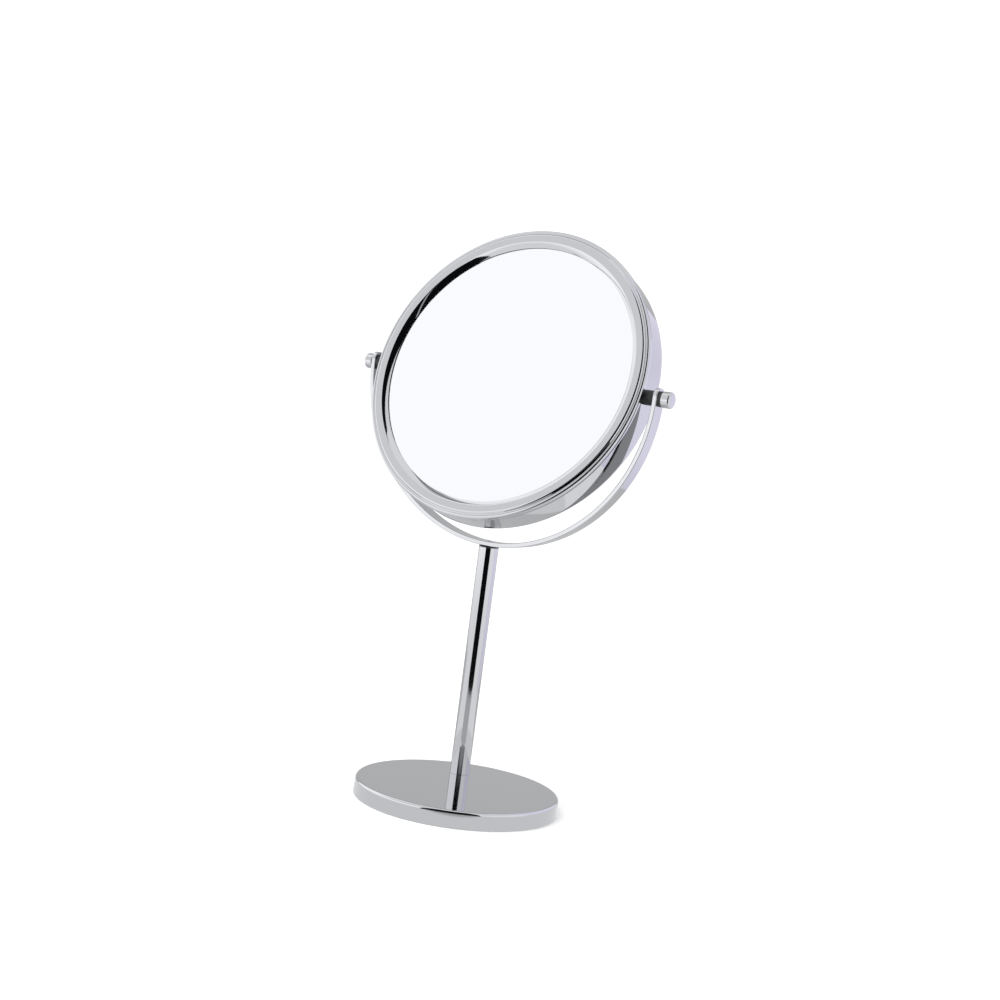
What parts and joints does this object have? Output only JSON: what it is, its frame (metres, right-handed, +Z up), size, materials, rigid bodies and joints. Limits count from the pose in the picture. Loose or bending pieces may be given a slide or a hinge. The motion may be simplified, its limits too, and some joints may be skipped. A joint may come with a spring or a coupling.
{
  "type": "extendable shaving mirror",
  "caption": "Round double-sided shaving mirror that tilts in a half-round yoke on a telescopic stem with a low weighted disc base.",
  "frame": {"origin": "where the stem's axis meets the table, on the underside of the base pad", "axes": "+Z up along the stem, X along the tilt pivots, the plain glass faces -Y and leans back"},
  "size_m": [0.1958, 0.1185, 0.3102],
  "materials": {
    "chrome_plate": "polished",
    "silvered_glass": "polished",
    "ballast_iron": "rough",
    "non_slip_pad": "matte",
    "zinc_steel": "satin",
    "turned_brass": "satin",
    "black_nylon": "satin",
    "grey_abs": "matte",
    "foam": "matte"
  },
  "bodies": {
    "stand": {"base_shell": "chrome_plate", "base_weight": "ballast_iron", "base_pad": "non_slip_pad", "base_bolt": "zinc_steel", "base_washer": "zinc_steel", "stem_tube": "chrome_plate", "stem_foot_plug": "turned_brass", "top_guide_bush": "black_nylon"},
    "carriage": {"slide_bush": "black_nylon", "friction_ring": "zinc_steel"},
    "yoke": {"mast_tube": "chrome_plate", "mast_end_plug": "turned_brass", "stop_collar": "turned_brass", "mast_top_plug": "turned_brass", "yoke_band": "chrome_plate", "yoke_screw": "chrome_plate", "pivot_bushes": "black_nylon", "friction_washers": "black_nylon"},
    "head": {"drum_shell": "chrome_plate", "front_bezel": "chrome_plate", "flat_mirror_glass": "silvered_glass", "magnifying_mirror_glass": "silvered_glass", "carrier_ring": "grey_abs", "foam_disc": "foam", "anchor_plates": "zinc_steel", "pivot_screws": "zinc_steel", "pivot_spacers": "black_nylon"},
    "left_knob": {"left_knob": "chrome_plate"},
    "right_knob": {"right_knob": "chrome_plate"}
  },
  "joints": [
    {"name": "mast_slide", "type": "slide", "parent": "stand", "child": "carriage", "axis": [0, 0, 1], "range_m": [0, 0.09]},
    {"name": "yoke_swivel", "type": "hinge", "parent": "carriage", "child": "yoke", "pos_m": [0, 0, 0.026], "axis": [0, 0, 1], "continuous": true},
    {"name": "head_tilt", "type": "hinge", "parent": "yoke", "child": "head", "pos_m": [0, 0, 0.2272], "axis": [1, 0, 0], "continuous": true},
    {"name": "left_knob_turn", "type": "hinge", "parent": "head", "child": "left_knob", "pos_m": [-0.0962, 0, 0.2272], "axis": [-1, 0, 0], "range_deg": [0, 90]},
    {"name": "right_knob_turn", "type": "hinge", "parent": "head", "child": "right_knob", "pos_m": [0.0962, 0, 0.2272], "axis": [1, 0, 0], "range_deg": [0, 90]}
  ]
}
